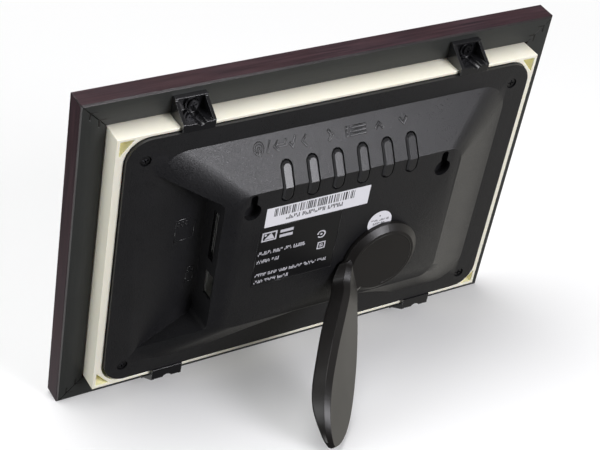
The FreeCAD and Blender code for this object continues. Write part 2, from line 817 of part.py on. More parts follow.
# ---------------------------------------------------------------- boards, chips and sockets

BOARD_FRONT = size("board_back") - size("board_thickness")
ON_BOARD = size("board_back")


def make_board():
    body = new_body("main_board")
    outline = [(56.8, -34), (56.8, 47), (-47, 47), (-47, 25), (-10, 25), (-10, -34)]
    pad_up(body, "board_plate", BOARD_FRONT, ON_BOARD, lambda drawn: polygon(drawn, outline))
    for index, (across, up) in enumerate(BOARD_SCREWS):
        pocket_down(body, f"board_hole_{index}", ON_BOARD, size("board_thickness") + 1,
                    lambda drawn, x=across, z=up: circle(drawn, x, z, 1.5))


make_board()


def chip(label, left, right, bottom, top, height):
    """A flat package on the back of the board."""
    return plate(label, ON_BOARD, ON_BOARD + height,
                 lambda drawn: rectangle(drawn, left, right, bottom, top))


chip("processor_chip", 5, 23, -8, 10, 1.5)
chip("memory_chip", 8, 19, -26, -12, 1.2)
chip("crystal", -4, 7, 16, 20.5, 3.5)
chip("power_inductor", 26, 34, -20, -12, 4)
chip("flash_chip", -8, 0.5, -6, 8, 1.3)
group("capacitors", [rod(f"capacitor_{index}", across, ON_BOARD, -27, 6.5, 3)
                     for index, across in enumerate((25, 33, 41))])
group("lcd_connector", [block("lcd_connector_body", -size("flex_width") / 2 - 1, size("flex_width") / 2 + 1,
                              BOARD_FRONT - 1.5, BOARD_FRONT, Size(-33.0, "-33"), Size(-27.0, "-27"))])


def make_switches():
    switches = []
    for index, across in enumerate(button_places()):
        base = block(f"switch_base_{index}", Size(across - 3, str(across - 3)),
                     Size(across + 3, str(across + 3)), ON_BOARD, ON_BOARD + size("switch_height"),
                     size("switch_z") - 3, size("switch_z") + 3)
        plunger = rod(f"switch_plunger_{index}", across, ON_BOARD + size("switch_height") - 0.5,
                      size("switch_z"), 1.2, 1.6)
        switches.append(fused(f"switch_{index}", [base, plunger]))
    group("tact_switches", switches)


make_switches()


def make_card_socket():
    low, high = size("card_slot_low") - 0.6, size("card_slot_high") + 0.6
    back = ON_BOARD + 3.4
    can = block("card_can", Size(30.0, "30"), Size(57.3, "57.3"), ON_BOARD, back, low, high)
    mouth = block("card_mouth", Size(32.5, "32.5"), Size(60.0, "60"), ON_BOARD + 0.6, back - 0.4,
                  low + 1.3, high - 1.3)
    keep("card_socket", cut("card_socket", can, mouth))


def make_usb():
    low, high = size("usb_low") + 0.35, size("usb_high") - 0.35
    back = ON_BOARD + 6.6
    can = block("usb_can", Size(43.5, "43.5"), Size(58.6, "58.6"), ON_BOARD + 0.15, back, low, high)
    mouth = block("usb_mouth", Size(44.0, "44"), Size(60.0, "60"), ON_BOARD + 0.5, back - 0.35,
                  low + 0.4, high - 0.4)
    keep("usb_port", cut("usb_port", can, mouth))
    group("usb_tongue", [block("usb_tongue_bar", Size(44.0, "44"), Size(56.8, "56.8"), back - 2.6,
                               back - 0.6, low + 1.1, high - 1.1)])


def make_power_jack():
    across = size("power_jack_x")
    front = size("scoop_top") + size("cover_wall") + 0.3
    body = block("jack_body", across - 4.5, across + 4.5, ON_BOARD, ON_BOARD + 7.2, front, front + 13)
    bore = rod("jack_bore", across, size("power_jack_y"), front + 9.5, 12, size("power_plug_radius"),
               ALONG_MINUS_Z)
    keep("power_jack", cut("power_jack", body, bore))
    group("power_jack_pin", [rod("power_jack_pin_rod", across, size("power_jack_y"), front + 9.5, 8.8,
                                 size("power_pin_radius"), ALONG_MINUS_Z)])


make_card_socket()
make_usb()
make_power_jack()

# ---------------------------------------------------------------- screws


def screw(name, across, seat, up, head_radius, head_height, shank_radius, length, outward=1):
    """A pan head screw whose head sits on Y = seat and stands outward; the shank goes the other way."""
    head_low = seat if outward > 0 else seat - head_height
    head = rod(f"{name}_head", across, head_low, up, head_height, head_radius)
    shank_low = seat - length if outward > 0 else seat
    shank = rod(f"{name}_shank", across, shank_low, up, length, shank_radius)
    whole = fused(f"{name}_whole", [head, shank])
    wing, thick, deep = 1.5, 0.4, 0.7
    face = head_low + head_height - deep if outward > 0 else head_low
    bars = []
    for index, (half_x, half_z) in enumerate(((wing, thick), (thick, wing))):
        bars.append(block(f"{name}_bar_{index}", across - half_x, across + half_x,
                          face, face + deep, up - half_z, up + half_z))
    return cut(name, whole, fused(f"{name}_cross", bars))


SHANK = size("screw_shank_radius")
cover_screws = []
for right in (1, -1):
    for up in (1, -1):
        cover_screws.append(screw(
            f"cover_screw_{right + 1}_{up + 1}", size("cover_screw_x") * right,
            size("cover_back") - size("cover_screw_sunk"), size("cover_screw_z") * up, 2.1, 0.9, SHANK, 9))
group("cover_screws", cover_screws)
group("board_screws", [
    screw(f"board_screw_{index}", Size(across, str(across)), BOARD_FRONT, Size(up, str(up)),
          2.3, 1.2, SHANK, 6, outward=-1)
    for index, (across, up) in enumerate(BOARD_SCREWS)])
group("clamp_screws", [
    screw(f"clamp_screw_{right + 1}_{up + 1}", size("clamp_x") * right, size("clamp_wall"),
          size("clamp_screw_z") * up, size("clamp_head_radius"), 1.9, size("clamp_wall"), 8)
    for right in (1, -1) for up in (1, -1)])

# ---------------------------------------------------------------- clamps


def clamp_form(across, up):
    """An open box with sloping sides, tall beside the tray, with a lip over the tray's rim."""
    half = plain(size("clamp_width")) / 2
    wall = plain(size("clamp_wall"))
    rim = plain(size("clamp_rim"))
    low_rim = plain(size("clamp_outer_rim"))
    end = plain(size("clamp_end"))
    tray_side = plain(size("tray_height")) / 2 + 0.35
    cover_edge = plain(size("cover_top") if up > 0 else -size("cover_bottom"))
    lip_end = cover_edge + 0.3
    lip_low = plain(size("tray_rim")) + 0.2
    outline = [(0, tray_side), (lip_low, tray_side), (lip_low, lip_end), (rim, lip_end),
               (rim, tray_side + 2.1), (low_rim, end - 0.9), (low_rim, end), (0, end)]
    body = side_prism(outline, across - half, across + half)
    hollow = [(wall, tray_side + 1.9), (rim + 1, tray_side + 1.9), (rim + 1, end - 0.9), (wall, end - 0.9)]
    body = body.cut(side_prism(hollow, across - half + wall, across + half - wall))
    screw_x = math.copysign(plain(size("clamp_x")), across)
    screw_z = plain(size("clamp_screw_z"))
    out = Vector(0, 1, 0)
    floor = Vector(screw_x, wall / 2, screw_z)
    boss = Part.makeCylinder(3.7, wall / 2 + 1.1, floor, out)
    boss = boss.common(Part.makeBox(8, 10, end - 0.2 - tray_side, Vector(screw_x - 4, 0, tray_side)))
    seat = Part.makeCylinder(plain(size("clamp_head_radius")) + 0.3, 10, Vector(screw_x, wall, screw_z), out)
    hole = Part.makeCylinder(wall + 0.1, 10, Vector(screw_x, -1, screw_z), out)
    groove = Part.makeCylinder(2.6, rim, Vector(screw_x, wall + 1.1, tray_side + 3.2), out)
    body = body.cut(groove).fuse(boss).cut([seat, hole])
    return body if up > 0 else body.mirror(Vector(), Vector(0, 0, 1))


# the clamps are screwed on by hand, so each sits a little off its screw
for clamp_label, centre, up in (("clamp_top_right", 71.2, 1), ("clamp_top_left", -69.3, 1),
                                ("clamp_bottom_right", 70.6, -1), ("clamp_bottom_left", -70.0, -1)):
    keep(clamp_label, formed(clamp_label, clamp_form(centre, up)))

# ---------------------------------------------------------------- buttons


def ridge_outline(lift_low, lift_high):
    """A band that follows the housing's top slope and plateau, as (Y, Z) corners."""
    slope = RISE / (BASE[3] - TOP[3])
    far = BASE[3] - 2
    drop = (far - TOP[3]) * slope
    upper = [(PLATEAU + lift_high, 20), (PLATEAU + lift_high, TOP[3]), (PLATEAU - drop + lift_high, far)]
    lower = [(PLATEAU - drop + lift_low, far), (PLATEAU + lift_low, TOP[3]), (PLATEAU + lift_low, 20)]
    return upper + lower


def button_form(across):
    """A long cap bent over the housing's top edge, with a retaining flange and a stem."""
    width = plain(size("button_width"))
    low, high = plain(size("button_low")), plain(size("button_high"))
    proud = plain(size("button_proud"))
    cap = pill(across, width, low, high, 10, PLATEAU + 5)
    cap = cap.common(side_prism(ridge_outline(-2.8, proud), across - 8, across + 8))
    cap = cap.makeChamfer(plain(size("button_bevel")), crown_edges(cap, proud))
    flange = pill(across, width + 2.4, low - 1.2, high + 1, 10, PLATEAU + 5)
    flange = flange.common(side_prism(ridge_outline(-3.6, -2.75), across - 8, across + 8))
    reach = plain(size("button_travel")) + 0.1
    foot = BOARD_BACK + plain(size("switch_height")) + 0.7 + reach
    stem = Part.makeCylinder(1.4, PLATEAU - 3 - foot, Vector(across, foot, plain(size("switch_z"))),
                             Vector(0, 1, 0))
    return cap.fuse([flange, stem]).removeSplitter()


def crown_edges(cap, proud):
    """The edges round the cap's outer faces, without the crease across it."""
    edges = []
    for edge in cap.Edges:
        middle = edge.valueAt((edge.FirstParameter + edge.LastParameter) / 2)
        drop = max(0.0, middle.z - TOP[3]) * RISE / (BASE[3] - TOP[3])
        on_top = abs(middle.y - (PLATEAU - drop + proud)) < 0.05
        crease = abs(middle.z - TOP[3]) < 0.05
        if on_top and not crease:
            edges.append(edge)
    return edges


BUTTON_NAMES = ["power", "back", "forward", "menu", "up", "down"]
for button_name, place in zip(BUTTON_NAMES, button_places()):
    keep(f"button_{button_name}", formed(f"button_{button_name}", button_form(place)))

# ---------------------------------------------------------------- stand

STAND = Vector(plain(size("stand_x")), 0, plain(size("stand_z")))
HEADING = math.radians(plain(size("leg_heading")))
FORWARD = Vector(math.cos(HEADING), 0, -math.sin(HEADING))
SIDE = Vector(-math.sin(HEADING), 0, -math.cos(HEADING))
OUT = Vector(0, 1, 0)
DISC_LOW = PLATEAU + plain(size("disc_gap"))
DISC_HIGH = DISC_LOW + plain(size("disc_thickness"))
BEVEL_DEPTH = plain(size("edge_bevel_depth"))
BEVEL_WIDTH = plain(size("edge_bevel_width"))
# the leg's centre line is a quadratic curve: distance from the disc's centre, distance out of the back
LEG_CURVE = [(plain(size("leg_root")), DISC_HIGH), (25.0, 43.8), (69.6, 94.5)]
# place along the leg from 0 to 1, half widths of its flat outer face on its upper and lower side,
# thickness, and how far the section turns back and slants where it leaves the disc
LEG_SECTIONS = [
    (0.0, 10.3, 6.6, 6.5, -0.7, 0.225), (0.03, 8.0, 6.0, 7.4, -0.46, 0.143),
    (0.06, 6.6, 5.6, 8.0, -0.2, 0.074), (0.1, 5.4, 5.2, 8.4, 0, 0), (0.2, 5.2, 5.3, 8.7, 0, 0),
    (0.3, 6.4, 6.6, 8.9, 0, 0), (0.4, 8.2, 8.3, 9.3, 0, 0), (0.5, 10.0, 10.1, 9.4, 0, 0),
    (0.6, 11.8, 11.8, 9.2, 0, 0), (0.7, 13.0, 13.0, 8.9, 0, 0), (0.8, 13.5, 13.5, 8.8, 0, 0),
    (0.86, 12.8, 12.8, 8.6, 0, 0), (0.92, 10.6, 10.5, 7.5, 0, 0), (0.96, 7.5, 7.4, 5.8, 0, 0),
    (0.985, 4.2, 4.1, 4.6, 0, 0), (1.0, 0.8, 0.8, 3.6, 0, 0)]


def leg_centre(part):
    """Point of the leg's centre line and its outward normal at a place from 0 to 1."""
    (a0, b0), (a1, b1), (a2, b2) = LEG_CURVE
    rest = 1 - part
    along = rest * rest * a0 + 2 * rest * part * a1 + part * part * a2
    high = rest * rest * b0 + 2 * rest * part * b1 + part * part * b2
    run = 2 * rest * (a1 - a0) + 2 * part * (a2 - a1)
    climb = 2 * rest * (b1 - b0) + 2 * part * (b2 - b1)
    length = math.hypot(run, climb)
    normal = FORWARD * (-climb / length) + OUT * (run / length)
    return STAND + FORWARD * along + OUT * high, normal


def ring_of(centre, normal, upper, lower, thick, shift, slant, bevel):
    """The eight sided section with a bevel along both edges of its outer face."""
    spots = [(0.0, 0.0), (bevel, BEVEL_DEPTH), (bevel, thick - 0.8), (bevel - 0.8, thick)]
    ring = []
    for half, sign, order in ((upper, -1, spots), (lower, 1, spots[::-1])):
        for extra, deep in order:
            across = sign * (half + extra)
            ring.append(centre + SIDE * across + FORWARD * (shift + slant * across) - normal * deep)
    return Part.makePolygon(ring + ring[:1])


def leg_section(part, upper, lower, thick, shift, slant):
    centre, normal = leg_centre(part)
    bevel = BEVEL_WIDTH * (1 - 1.4 * max(0.0, part - 0.75))
    return ring_of(centre, normal, upper, lower, thick, shift, slant, bevel)


def make_stand():
    radius = plain(size("disc_radius"))
    thick = plain(size("disc_thickness"))
    disc = Part.makeCylinder(radius, thick - BEVEL_DEPTH, STAND + OUT * DISC_LOW, OUT)
    crown = Part.makeCone(radius, radius - BEVEL_WIDTH, BEVEL_DEPTH, STAND + OUT * (DISC_HIGH - BEVEL_DEPTH), OUT)
    shank = [leg_section(*section) for section in LEG_SECTIONS]
    upper, lower = LEG_SECTIONS[0][1:3]
    inside = ring_of(STAND + FORWARD * 8 + OUT * DISC_HIGH, OUT, upper, lower, thick, 0, 0.15, BEVEL_WIDTH)
    root = Part.makeLoft([inside, shank[0]], True, True)
    leg = Part.makeLoft(shank, True, False)
    disc = disc.fuse([crown, root])
    spindle_low = 17.0
    spindle = Part.makeCylinder(plain(size("spindle_radius")), DISC_LOW + 1 - spindle_low,
                                STAND + OUT * spindle_low, OUT)
    thread = Part.makeCylinder(1.5, 7, STAND + OUT * spindle_low, OUT)
    whole = disc.fuse([leg, spindle]).cut(thread)
    keep("stand_leg", formed("stand_leg", whole))
    keep("stand_washer", cut("stand_washer", rod("washer_disc", STAND.x, 16, STAND.z, 1, 8),
                             rod("washer_hole", STAND.x, 15, STAND.z, 3, 1.6)))
    keep("stand_wave_washer", cut("stand_wave_washer",
                                  rod("wave_disc", STAND.x, 17.05, STAND.z, 0.4, 7.5),
                                  rod("wave_hole", STAND.x, 16, STAND.z, 3, 5.3)))
    keep("stand_screw", screw("stand_screw", STAND.x, 16, STAND.z, 2.8, 1.8, 1.5, 7, outward=-1))


make_stand()

# ---------------------------------------------------------------- labels


def label_sheet(label, draw):
    plate(label, size("plateau_back"), size("plateau_back") + size("label_thickness"), draw)


label_sheet("barcode_label", lambda drawn: rectangle(drawn, -14.5, 39.2, 17.8, 28.4))
label_sheet("rating_label", lambda drawn: rectangle(drawn, -1.0, 40.5, -15.5, 17.0))
label_sheet("check_sticker", lambda drawn: circle(drawn, -24.2, 4.1, 6.5))

# ---------------------------------------------------------------- lean, check and write

document.recompute()

half_height = plain(HALF_HEIGHT)
stand_leg = [piece for piece in pieces if piece.Label == "stand_leg"][0]
lean = min(math.atan2(spot.z + half_height, spot.y)
           for spot in stand_leg.Shape.tessellate(0.02)[0] if spot.y > PLATEAU + 20)
turn_back = FreeCAD.Rotation(Vector(1, 0, 0), -math.degrees(lean))
lift = half_height * math.cos(lean)


def lean_all(forward):
    """Lean every piece back, standing on the plane Z = 0, and move it along Y."""
    place = FreeCAD.Placement(Vector(0, forward, lift), turn_back)
    for piece in pieces:
        piece.Placement = place
    document.recompute()


lean_all(0)
whole = FreeCAD.BoundBox()
for piece in pieces:
    whole.add(piece.Shape.BoundBox)
lean_all(-whole.Center.y)

failed = [item.Label for item in document.Objects
          if any(word in state for state in item.State for word in ("Invalid", "Error"))]
for piece in pieces:
    if piece.Shape.isNull() or not piece.Shape.isValid() or not piece.Shape.Solids:
        failed.append(piece.Label)
if failed:
    raise RuntimeError(f"not usable: {failed}")

os.makedirs("parts", exist_ok=True)
for piece in pieces:
    piece.Shape.exportStep(os.path.join("parts", f"{piece.Label}.step"))

centre_y = -whole.Center.y
print(f"{len(pieces)} pieces, lean {math.degrees(lean):.3f} degrees, placement Y {centre_y:.4f} Z {lift:.4f}")
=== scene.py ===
import json
import math
import random

import bpy
from mathutils import Matrix, Vector
from mathutils.bvhtree import BVHTree


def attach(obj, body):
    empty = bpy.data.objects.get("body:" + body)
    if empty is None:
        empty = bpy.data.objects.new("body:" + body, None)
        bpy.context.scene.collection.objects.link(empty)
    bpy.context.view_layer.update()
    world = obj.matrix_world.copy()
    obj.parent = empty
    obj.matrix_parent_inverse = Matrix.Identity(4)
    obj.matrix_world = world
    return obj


# Looks for the digital photo frame: rounded edges, materials, label prints and raised signs on
# the CAD nodes, and the stage around them. Lengths in the part's own upright frame are in
# millimetres: X to the right seen from the picture side, OUT of the back, UP along the height.

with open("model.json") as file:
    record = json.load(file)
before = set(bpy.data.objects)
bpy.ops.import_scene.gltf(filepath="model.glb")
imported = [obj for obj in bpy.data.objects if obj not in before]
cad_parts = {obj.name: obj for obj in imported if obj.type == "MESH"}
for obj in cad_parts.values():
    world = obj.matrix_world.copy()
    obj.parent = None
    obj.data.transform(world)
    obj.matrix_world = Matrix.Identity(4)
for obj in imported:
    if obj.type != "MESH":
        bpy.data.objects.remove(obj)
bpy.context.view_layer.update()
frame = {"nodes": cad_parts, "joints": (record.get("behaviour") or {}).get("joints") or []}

MM = 0.001
X = Vector((1, 0, 0))
OUT = Vector(frame["joints"][0]["axis"]).normalized()
UP = X.cross(OUT)
SPIN = Matrix((X, OUT, UP)).transposed()
RAILS = ["frame_rail_top", "frame_rail_bottom", "frame_rail_left", "frame_rail_right"]
CLAMPS = ["clamp_top_left", "clamp_top_right", "clamp_bottom_left", "clamp_bottom_right"]
KEYS = ["button_power", "button_back", "button_forward", "button_menu", "button_up", "button_down"]


def spread(names, origin=Vector()):
    """Lowest and highest corner of some CAD nodes in the upright frame, in metres."""
    spots = [SPIN.transposed() @ (vertex.co - origin)
             for name in names for vertex in frame["nodes"][name].data.vertices]
    return [Vector(pick(spot[axis] for spot in spots) for axis in range(3)) for pick in (min, max)]


rail_low, rail_high = spread(RAILS)
rail_middle = (rail_low + rail_high) / 2
ORIGIN = SPIN @ Vector((rail_middle.x, rail_high.y, rail_middle.z))
UPRIGHT = Matrix.Translation(ORIGIN) @ SPIN.to_4x4() @ Matrix.Scale(MM, 4)


def place(across, out, up):
    """A point given in the upright frame in millimetres, in the row frame in metres."""
    return UPRIGHT @ Vector((across, out, up))


def box_mm(*names):
    """Lowest and highest corner of CAD nodes in the upright frame, in millimetres."""
    low, high = spread(names, ORIGIN)
    return low / MM, high / MM


def middle_mm(*names):
    """The middle of that box."""
    low, high = box_mm(*names)
    return (low + high) / 2


# ---------------------------------------------------------------- camera

# Solved from the photograph. The axes and the place are in the upright frame.
SENSOR_WIDTH = 36
LENS = 97.45
SHIFT_X, SHIFT_Y = 0.0046, 0.0031
CAMERA_RIGHT = (-0.85676, 0.49325, 0.15054)
CAMERA_BACK = (0.47055, 0.62824, 0.61959)
CAMERA_PLACE = (360.13, 476.44, 459.48)


def photo_camera():
    """A camera where the photograph was taken from."""
    data = bpy.data.cameras.new("camera")
    data.sensor_width = SENSOR_WIDTH
    data.lens = LENS
    data.shift_x = SHIFT_X
    data.shift_y = SHIFT_Y
    camera = bpy.data.objects.new("camera", data)
    bpy.context.scene.collection.objects.link(camera)
    right, back = SPIN @ Vector(CAMERA_RIGHT), SPIN @ Vector(CAMERA_BACK)
    camera.rotation_mode = "QUATERNION"
    axes = Matrix((right, back.cross(right), back)).transposed()
    camera.rotation_quaternion = axes.to_quaternion()
    camera.location = place(*CAMERA_PLACE)
    bpy.context.scene.camera = camera


photo_camera()

# ---------------------------------------------------------------- node tools


class Nodes:
    """Short names for the shader nodes of a material or a world."""

    def __init__(self, tree):
        self.tree = tree
        self.nodes = tree.nodes

    def link(self, output, socket):
        self.tree.links.new(output, socket)

    def add(self, kind, inputs=(), **settings):
        """A node; inputs holds (socket, number or another node's output) pairs."""
        node = self.nodes.new(kind)
        for key, value in settings.items():
            setattr(node, key, value)
        for socket, value in inputs:
            if isinstance(value, bpy.types.NodeSocket):
                self.link(value, node.inputs[socket])
            else:
                node.inputs[socket].default_value = value
        return node

    def maths(self, operation, first, second):
        return self.add("ShaderNodeMath", [(0, first), (1, second)],
                        operation=operation).outputs[0]

    def size(self, value):
        """The value without its sign."""
        return self.add("ShaderNodeMath", [(0, value)], operation="ABSOLUTE").outputs[0]

    def vector(self, operation, first, second, output=0):
        return self.add("ShaderNodeVectorMath", [(0, first), (1, second)],
                        operation=operation).outputs[output]

    def remap(self, value, start, end, low, high, shape="SMOOTHSTEP"):
        """low where the value is start, high where it is end, and between them in between."""
        return self.add("ShaderNodeMapRange", [
            ("Value", value), ("From Min", start), ("From Max", end),
            ("To Min", low), ("To Max", high)], interpolation_type=shape).outputs[0]

    def between(self, factor, low, high):
        """A number between low and high as the factor goes from 0 to 1."""
        return self.remap(factor, 0.0, 1.0, low, high, "LINEAR")

    def window(self, value, start, end):
        """0 up to start, 1 from end on, smooth between."""
        return self.remap(value, start, end, 0.0, 1.0)

    def mix(self, factor, first, second):
        """A colour between two colours, each a tuple or another node's output."""
        first, second = [colour if isinstance(colour, bpy.types.NodeSocket) else (*colour, 1)
                         for colour in (first, second)]
        return self.add("ShaderNodeMix", [(0, factor), (6, first), (7, second)],
                        data_type="RGBA").outputs[2]


class Paint(Nodes):
    """A Principled material, with patterns laid out in the upright frame."""

    def __init__(self, name, colour, rough, metal=0.0, specular=0.5):
        self.material = bpy.data.materials.new(name)
        self.material.use_nodes = True
        super().__init__(self.material.node_tree)
        self.surface = self.nodes["Principled BSDF"]
        self.set("Base Color", (*colour, 1))
        self.set("Roughness", rough)
        self.set("Metallic", metal)
        self.set("Specular IOR Level", specular)

    def set(self, socket, value):
        self.surface.inputs[socket].default_value = value

    def feed(self, socket, output):
        self.link(output, self.surface.inputs[socket])

    def upright(self, stretch=(1, 1, 1)):
        """Object coordinates turned into the upright frame in millimetres, then stretched."""
        spot = self.vector("SUBTRACT", self.add("ShaderNodeTexCoord").outputs["Object"], ORIGIN)
        parts = [self.vector("DOT_PRODUCT", spot, axis * scale / MM, "Value")
                 for axis, scale in zip((X, OUT, UP), stretch)]
        return self.add("ShaderNodeCombineXYZ", enumerate(parts)).outputs[0]

    def across_out_up(self):
        """The three upright coordinates on their own."""
        return self.add("ShaderNodeSeparateXYZ", [(0, self.upright())]).outputs

    def noise(self, feature, detail=2.0, harsh=0.5, stretch=(1, 1, 1)):
        """Noise whose blotches are about feature millimetres across."""
        return self.add("ShaderNodeTexNoise", [
            ("Vector", self.upright(stretch)), ("Scale", 1 / feature), ("Detail", detail),
            ("Roughness", harsh)]).outputs["Fac"]

    def facing(self, direction):
        """How far the surface faces a direction, -1 to 1."""
        normal = self.add("ShaderNodeTexCoord").outputs["Normal"]
        return self.vector("DOT_PRODUCT", normal, direction, "Value")

    def bump(self, height, depth):
        """Bump the surface by a height from 0 to 1 that stands for depth millimetres."""
        inputs = [("Height", height), ("Distance", depth * MM), ("Strength", 1.0)]
        if self.surface.inputs["Normal"].is_linked:
            inputs.append(("Normal", self.surface.inputs["Normal"].links[0].from_socket))
        self.feed("Normal", self.add("ShaderNodeBump", inputs).outputs[0])

    def give_way(self, factor, shader):
        """Show another shader in place of the surface as the factor goes from 0 to 1."""
        both = self.add("ShaderNodeMixShader", [
            (0, factor), (1, self.surface.outputs[0]), (2, shader.outputs[0])])
        self.link(both.outputs[0], self.nodes["Material Output"].inputs["Surface"])


def darker(colour, share):
    """The colour scaled; a share over 1 makes it lighter."""
    return tuple(part * share for part in colour)


def assign(paint, *names):
    """Give CAD nodes a material of their own instead of the one they came with."""
    for name in names:
        mesh = frame["nodes"][name].data
        mesh.materials.clear()
        mesh.materials.append(paint.material)


# ---------------------------------------------------------------- materials

PLAIN_BLACK = (0.0085, 0.0085, 0.0095)
KEY_BLACK = (0.012, 0.012, 0.013)
KEY_ROUGH = 0.22
# The pocket colour is a painted glow, brighter and yellower than the cream, for light that comes
# through thin walls.
CREAM, CREAM_AGED, POCKET_PAINTED_GLOW = (0.86, 0.835, 0.715), (0.83, 0.80, 0.66), (1.0, 0.96, 0.66)
WOOD_PLAIN = (0.04, 0.02, 0.024)
STAIN, STAIN_PALE = (0.014, 0.0048, 0.009), (0.045, 0.02, 0.0265)
STAIN_CLOUD, STAIN_PORE = (0.033, 0.008, 0.010), (0.011, 0.005, 0.008)
BACK_PAINT, BACK_PAINT_PALE = (0.020, 0.021, 0.020), (0.032, 0.034, 0.032)
MITRE_SHADOW = (0.003, 0.003, 0.003)
ALONG_GRAIN = 0.035


def moulded(name, colour, rough, grain=0.45, depth=0.02, specular=0.5, sparkle=0.0, edge=0.0):
    """Moulded plastic: fine spark-eroded grain, roughness that drifts, edges rounded by edge mm."""
    paint = Paint(name, colour, rough, specular=specular)
    if edge:
        rounded = paint.add("ShaderNodeBevel", [("Radius", edge * MM)], samples=8)
        paint.feed("Normal", rounded.outputs[0])
    broad = paint.noise(feature=14, detail=3)
    fine = paint.noise(grain, detail=2, harsh=0.6)
    drift = 0.05
    paint.feed("Base Color", paint.mix(broad, darker(colour, 0.85), darker(colour, 1.15)))
    level = paint.between(broad, rough - drift, rough + drift)
    if sparkle:
        level = paint.maths("ADD", level, paint.between(fine, -sparkle, sparkle))
    paint.feed("Roughness", level)
    paint.bump(fine, depth)
    return paint


def mitre_gap(paint):
    """1 along the joints where the rails meet at 45 degrees, broken up here and there."""
    across, _, up = paint.across_out_up()
    spans = rail_high - rail_low
    corner_offset = (spans.x - spans.z) / 2 / MM
    far = paint.maths("SUBTRACT", paint.size(across), paint.size(up))
    far = paint.size(paint.maths("SUBTRACT", far, corner_offset))
    line = paint.maths("SUBTRACT", 1.0, paint.window(far, 0.12, 0.5))
    breaks = paint.window(paint.noise(feature=3.5, detail=2), 0.38, 0.5)
    return paint.maths("MULTIPLY", line, paint.between(breaks, 0.35, 1.0))


def painted_wood(name, along):
    """Stained and lacquered wood with a painted back; along stretches the grain down the rail."""
    paint = Paint(name, WOOD_PLAIN, 0.38, specular=0.36)
    streaks = paint.noise(1.1, 5, 0.62, along)
    pores = paint.noise(0.28, 3, 0.7, [part * 1.3 for part in along])
    clouds = paint.window(paint.noise(feature=30, detail=3), 0.35, 0.7)
    stain = paint.mix(paint.window(streaks, 0.36, 0.66), STAIN, STAIN_PALE)
    stain = paint.mix(paint.between(clouds, 0.0, 0.45), stain, STAIN_CLOUD)
    deep_pores = paint.window(pores, 0.58, 0.7)
    stain = paint.mix(paint.between(deep_pores, 0.0, 0.75), stain, STAIN_PORE)
    back_side = paint.window(paint.facing(OUT), 0.55, 0.8)
    back = paint.mix(paint.noise(0.7, 3, 0.6, along), BACK_PAINT, BACK_PAINT_PALE)
    mitre = mitre_gap(paint)
    paint.feed("Base Color", paint.mix(mitre, paint.mix(back_side, stain, back), MITRE_SHADOW))
    leaning_out, leaning_up = [paint.window(paint.facing(way), 0.2, 0.4) for way in (OUT, UP)]
    polish = paint.maths("MULTIPLY", paint.maths("MULTIPLY", leaning_out, leaning_up), 0.14)
    paint.feed("Roughness", paint.maths("SUBTRACT", paint.between(streaks, 0.3, 0.5), polish))
    paint.bump(paint.maths("ADD", paint.maths("MULTIPLY", pores, 0.6), streaks), depth=0.035)
    paint.bump(paint.maths("SUBTRACT", 1.0, mitre), depth=0.2)
    return paint


def painted_pocket_glow(paint):
    """1 inside the tray's four open corner pockets, which get a painted glow: a brighter yellow for
    light through the thin walls.
    """
    low, high = box_mm("mat_tray")
    across, out, up = paint.across_out_up()
    mask = paint.window(out, high.y - 0.05, high.y - 0.6)
    for part, half in ((across, (high.x - low.x) / 2), (up, (high.z - low.z) / 2)):
        far = paint.size(part)
        mask = paint.maths("MULTIPLY", mask, paint.window(far, half - 12, half - 8))
        mask = paint.maths("MULTIPLY", mask, paint.window(far, half - 0.7, half - 1.4))
    return mask


def cream_plastic():
    """The tray's plastic: it lets a little light in and has aged in broad patches."""
    paint = moulded("cream_plastic", CREAM, 0.36, grain=0.8, depth=0.008)
    plain = paint.mix(paint.noise(feature=40, detail=2), CREAM, CREAM_AGED)
    # The corner pockets are painted a brighter yellow: a painted glow for light through their thin
    # walls.
    paint.feed("Base Color", paint.mix(painted_pocket_glow(paint), plain, POCKET_PAINTED_GLOW))
    paint.set("Subsurface Weight", 0.12)
    paint.set("Subsurface Radius", (1.0, 0.8, 0.5))
    paint.set("Subsurface Scale", 0.0015)
    return paint


def smooth_black(name):
    """Smooth black plastic for the keys and the raised marks."""
    return moulded(name, KEY_BLACK, KEY_ROUGH, grain=1.0, depth=0.004, specular=0.7)


def key_plastic():
    """The keys' smooth plastic; their flanks, deep in the slots, are dull."""
    paint = smooth_black("key_plastic")
    flank = paint.window(paint.size(paint.facing(X)), 0.5, 0.8)
    paint.feed("Roughness", paint.between(flank, KEY_ROUGH, 0.95))
    return paint


def brushed(name, colour, rough, stretch=(1, 1, 1), feature=0.6, depth=0.004):
    """Metal with fine drawn lines."""
    paint = Paint(name, colour, rough, metal=1.0)
    lines = paint.noise(feature, 4, 0.6, stretch)
    paint.feed("Base Color", paint.mix(lines, darker(colour, 0.82), colour))
    paint.feed("Roughness", paint.between(lines, rough - 0.08, rough + 0.12))
    paint.bump(lines, depth)
    return paint


def paper(name, colour, rough):
    """Printed label stock: faint fibres, and a shine that changes slowly over the sheet."""
    paint = Paint(name, colour, rough)
    fibres = paint.noise(feature=0.35, detail=4, harsh=0.7)
    paint.feed("Base Color", paint.mix(fibres, darker(colour, 0.93), colour))
    shine = paint.noise(feature=9, detail=2)
    paint.feed("Roughness", paint.between(shine, rough - 0.05, rough + 0.08))
    paint.bump(fibres, depth=0.006)
    return paint


def ink(name, colour):
    """Ink that covers a little unevenly."""
    paint = Paint(name, colour, 0.5)
    patchy = paint.noise(feature=0.5, detail=3, harsh=0.7)
    paint.feed("Base Color", paint.mix(patchy, darker(colour, 0.75), colour))
    return paint


def circuit_board():
    """Green solder mask over copper tracks that run in both directions."""
    paint = Paint("circuit_board", (0.01, 0.09, 0.04), 0.35)
    tracks = [paint.window(paint.noise(1.2, 0, 0.5, stretch), 0.5, 0.53)
              for stretch in ((1, 1, 0.08), (0.08, 1, 1))]
    copper = paint.maths("MAXIMUM", *tracks)
    paint.feed("Base Color", paint.mix(copper, (0.006, 0.07, 0.03), (0.02, 0.16, 0.06)))
    paint.bump(copper, depth=0.03)
    return paint


